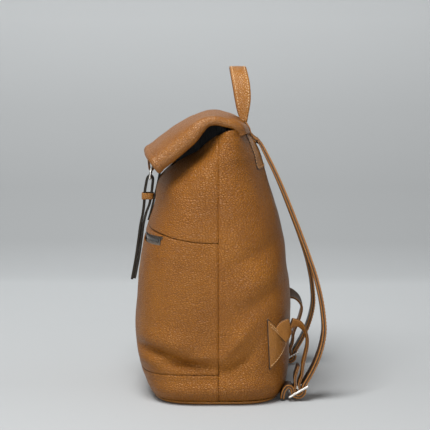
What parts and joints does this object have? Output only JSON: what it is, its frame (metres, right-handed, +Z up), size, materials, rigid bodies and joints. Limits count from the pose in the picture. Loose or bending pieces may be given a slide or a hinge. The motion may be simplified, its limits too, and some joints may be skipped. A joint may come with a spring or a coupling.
{
  "type": "leather backpack",
  "caption": "Soft leather backpack with a fold-over flap, snap pull strap, zipped front pocket, carrying loop and buckled shoulder straps.",
  "frame": {"origin": "middle of the base, on the surface that the bag stands on", "axes": "+Z up; -Y out of the front, where the flap closes; +Y towards the wearer's back; +X towards the wearer's right"},
  "size_m": [0.2857, 0.2314, 0.385],
  "materials": {
    "leather_body": "pebbled caramel leather, soft sheen",
    "leather_flap": "pebbled caramel leather, soft sheen",
    "leather_trim": "caramel leather with stitched, painted edges",
    "leather_strap": "caramel leather, stitched, dark lining on the inner face",
    "strap_dark": "near-black leather, smooth",
    "edge_paint": "dark painted edge",
    "lining": "black woven lining",
    "tape": "grey woven zipper tape",
    "board": "stiff fibre board",
    "metal": "polished pale metal",
    "metal_dark": "dark nickel"
  },
  "bodies": {
    "bag": {"back_panel": "leather_body", "front_upper_panel": "leather_body", "front_pocket_panel": "leather_body", "front_bottom_band": "leather_body", "base_piping": "leather_trim", "base_panel": "edge_paint", "base_board": "board", "main_lining": "lining", "mouth_collar": "lining", "pocket_bag": "lining", "zipper_tapes": "tape", "zipper_teeth": "metal", "zipper_stops": "metal", "flap_rear": "leather_flap", "flap_rear_lining": "lining", "snap_post": "metal_dark", "handle_tabs": "leather_trim", "back_patch": "leather_trim", "strap_tab_right": "leather_strap", "strap_tab_left": "leather_strap", "corner_patch_right": "leather_trim", "corner_patch_left": "leather_trim", "lower_strap_root_right": "leather_strap", "lower_strap_root_left": "leather_strap"},
    "flap": {"flap_front": "leather_flap", "flap_front_lining": "lining", "closure_tab": "leather_flap", "snap_strap": "strap_dark", "snap_cap": "metal_dark"},
    "ring": {"closure_ring": "metal"},
    "pull": {"pull_strap": "strap_dark", "pull_keeper": "leather_trim"},
    "slider": {"zipper_slider": "metal"},
    "puller": {"zipper_puller": "metal"},
    "handle": {"handle_strap": "leather_trim"},
    "strap_right": {"shoulder_strap_right": "leather_strap", "lower_strap_right": "leather_strap", "strap_buckle_right": "metal"},
    "prong_right": {"buckle_prong_right": "metal"},
    "strap_left": {"shoulder_strap_left": "leather_strap", "lower_strap_left": "leather_strap", "strap_buckle_left": "metal"},
    "prong_left": {"buckle_prong_left": "metal"}
  },
  "joints": [
    {"name": "flap_hinge", "type": "hinge", "parent": "bag", "child": "flap", "pos_m": [0, -0.012, 0.3272], "axis": [-1, 0, 0], "range_deg": [0, 110]},
    {"name": "ring_swing", "type": "hinge", "parent": "flap", "child": "ring", "pos_m": [0, -0.077, 0.2626], "axis": [-1, 0, 0], "range_deg": [0, 40]},
    {"name": "pull_swing", "type": "hinge", "parent": "ring", "child": "pull", "pos_m": [0, -0.079, 0.25], "axis": [-1, 0, 0], "range_deg": [0, 50]},
    {"name": "zipper_slide", "type": "slide", "parent": "bag", "child": "slider", "axis": [1, 0, 0], "range_m": [0, 0.128]},
    {"name": "puller_swing", "type": "hinge", "parent": "slider", "child": "puller", "pos_m": [-0.064, -0.08517, 0.1815], "axis": [-1, 0, 0], "range_deg": [0, 100]},
    {"name": "handle_fold", "type": "hinge", "parent": "bag", "child": "handle", "pos_m": [0, 0.0383, 0.3193], "axis": [-1, 0, 0], "range_deg": [0, 80]},
    {"name": "strap_swing_right", "type": "hinge", "parent": "bag", "child": "strap_right", "pos_m": [0.028, 0.053, 0.294], "axis": [0.4048, 0.1272, -0.9055], "range_deg": [0, 12]},
    {"name": "prong_turn_right", "type": "hinge", "parent": "strap_right", "child": "prong_right", "pos_m": [0.103, 0.0963, 0.0118], "axis": [1, 0, 0], "range_deg": [0, 15]},
    {"name": "strap_swing_left", "type": "hinge", "parent": "bag", "child": "strap_left", "pos_m": [-0.028, 0.053, 0.294], "axis": [0.4048, -0.1272, 0.9055], "range_deg": [0, 12]},
    {"name": "prong_turn_left", "type": "hinge", "parent": "strap_left", "child": "prong_left", "pos_m": [-0.103, 0.0963, 0.0118], "axis": [1, 0, 0], "range_deg": [0, 15]}
  ]
}
